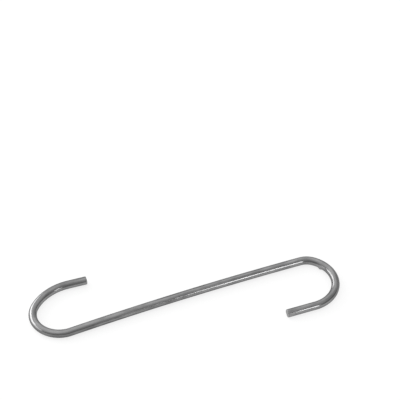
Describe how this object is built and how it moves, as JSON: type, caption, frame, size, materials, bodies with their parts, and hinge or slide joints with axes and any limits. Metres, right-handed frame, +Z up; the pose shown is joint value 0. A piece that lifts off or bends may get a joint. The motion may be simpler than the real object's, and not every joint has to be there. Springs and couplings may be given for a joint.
{
  "type": "s hook",
  "caption": "Long S-shaped hook of round steel wire with a slightly bowed shank and two open hooks curling opposite ways, for hanging things from a rail.",
  "frame": {"origin": "middle of the bounding box in plan, on the surface that the hook lies on", "axes": "+X along the shank from the rail hook to the load hook, +Y to the side that the rail hook curls to, +Z up from the surface"},
  "size_m": [0.1484, 0.0638, 0.004],
  "materials": {
    "steel_wire": "bright drawn wire, unplated look, with sheared ends"
  },
  "bodies": {
    "root": {"s_hook": "steel_wire"}
  },
  "joints": []
}
